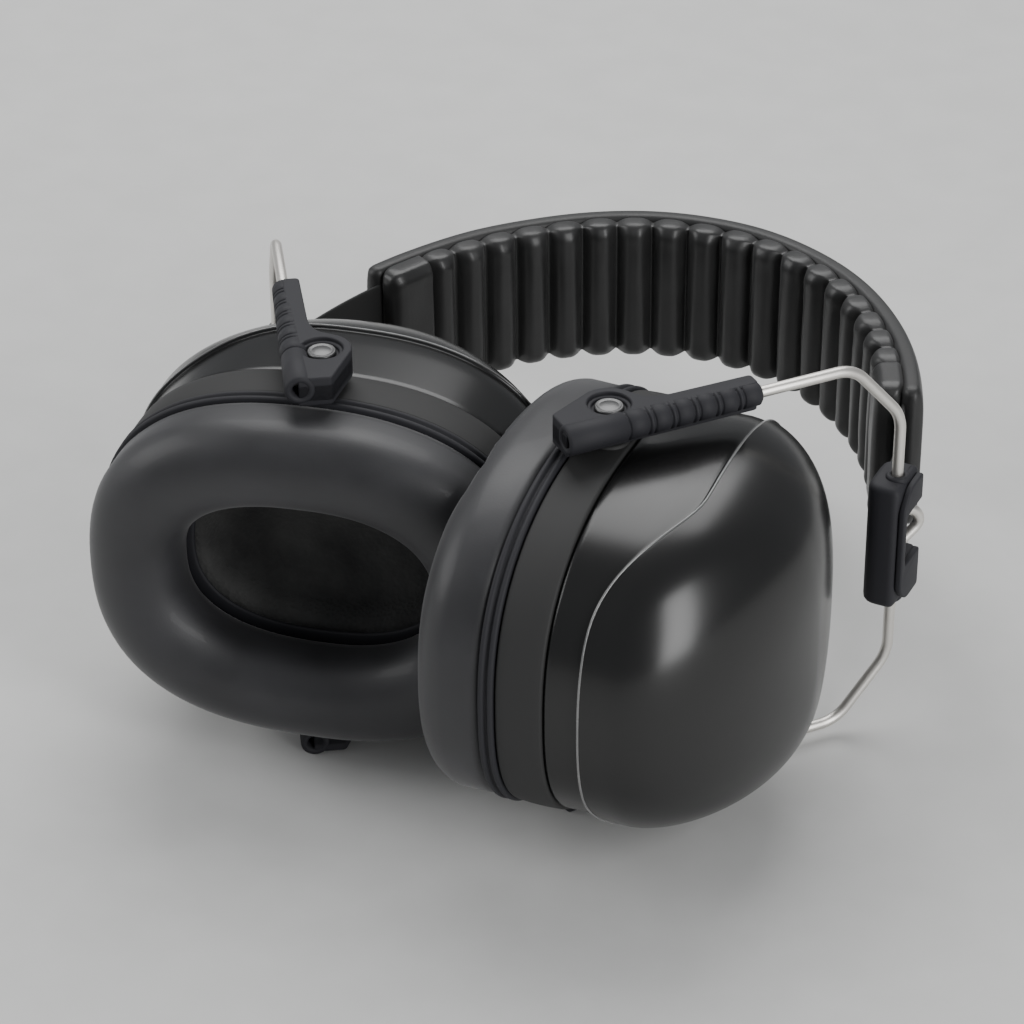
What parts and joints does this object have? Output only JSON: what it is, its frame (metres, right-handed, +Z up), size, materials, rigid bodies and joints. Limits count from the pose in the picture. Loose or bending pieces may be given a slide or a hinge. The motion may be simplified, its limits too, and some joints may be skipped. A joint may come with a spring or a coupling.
{
  "type": "earmuff hearing protector",
  "caption": "Over-the-ear hearing protector lying on its side: ribbed padded headband, bent wire yokes, sliding arms and tilting oval cups with foam-filled cushions.",
  "frame": {"origin": "middle of the footprint of the object lying on its side, on the surface that it lies on", "axes": "+Z up, along the pivot pins; +Y towards the crown of the headband; +X towards the wearer's right"},
  "size_m": [0.189, 0.2146, 0.1098],
  "materials": {
    "padded_vinyl": "smooth black vinyl skin over soft foam, satin",
    "vinyl_skin": "smooth black vinyl, satin, faint grain",
    "foam": "dark grey open-cell foam, fully matt",
    "satin_plastic": "black moulded plastic, satin",
    "matt_band": "black moulded plastic, matt with fine grain",
    "gloss_shell": "black moulded plastic, high gloss",
    "strap_plastic": "black spring strap, satin",
    "wire_steel": "drawn steel wire, bright satin",
    "pin_steel": "darkened steel, satin"
  },
  "bodies": {
    "headband": {"headband_pad": "padded_vinyl", "headband_backing": "foam", "headband_cover": "vinyl_skin", "spring_strap": "strap_plastic", "end_block_left": "satin_plastic", "block_plate_left": "satin_plastic", "block_rivet_upper_left": "pin_steel", "block_rivet_lower_left": "pin_steel", "end_block_right": "satin_plastic", "block_plate_right": "satin_plastic", "block_rivet_upper_right": "pin_steel", "block_rivet_lower_right": "pin_steel"},
    "yoke_left": {"yoke_wire_left": "wire_steel"},
    "arms_left": {"slide_arm_upper_left": "satin_plastic", "slide_arm_lower_left": "satin_plastic", "pivot_pin_upper_left": "pin_steel", "pivot_pin_lower_left": "pin_steel", "pivot_washer_upper_left": "matt_band", "pivot_washer_lower_left": "matt_band"},
    "cup_left": {"cup_shell_left": "gloss_shell", "cup_ring_left": "matt_band", "cushion_plate_left": "satin_plastic", "ear_cushion_left": "padded_vinyl", "foam_liner_left": "foam", "liner_frame_left": "satin_plastic"},
    "yoke_right": {"yoke_wire_right": "wire_steel"},
    "arms_right": {"slide_arm_upper_right": "satin_plastic", "slide_arm_lower_right": "satin_plastic", "pivot_pin_upper_right": "pin_steel", "pivot_pin_lower_right": "pin_steel", "pivot_washer_upper_right": "matt_band", "pivot_washer_lower_right": "matt_band"},
    "cup_right": {"cup_shell_right": "gloss_shell", "cup_ring_right": "matt_band", "cushion_plate_right": "satin_plastic", "ear_cushion_right": "padded_vinyl", "foam_liner_right": "foam", "liner_frame_right": "satin_plastic"}
  },
  "joints": [
    {"name": "fold_right", "type": "hinge", "parent": "headband", "child": "yoke_right", "pos_m": [0.08878, 0.00366, 0.0549], "axis": [0, 0, 1], "range_deg": [-2.5, 39.2]},
    {"name": "height_right", "type": "slide", "parent": "yoke_right", "child": "arms_right", "axis": [-0.632, -0.7749, 0], "range_m": [-0.009, 0.005]},
    {"name": "tilt_right", "type": "hinge", "parent": "arms_right", "child": "cup_right", "pos_m": [0.03585, -0.05111, 0.0549], "axis": [0, 0, -1], "range_deg": [-7, 9]},
    {"name": "fold_left", "type": "hinge", "parent": "headband", "child": "yoke_left", "pos_m": [-0.08402, 0.00366, 0.0549], "axis": [0, 0, -1], "range_deg": [-2.5, 33.1]},
    {"name": "height_left", "type": "slide", "parent": "yoke_left", "child": "arms_left", "axis": [0.5461, -0.8377, 0], "range_m": [-0.01, 0.005]},
    {"name": "tilt_left", "type": "hinge", "parent": "arms_left", "child": "cup_left", "pos_m": [-0.03721, -0.05642, 0.0549], "axis": [0, 0, 1], "range_deg": [-45, 111.3]}
  ]
}
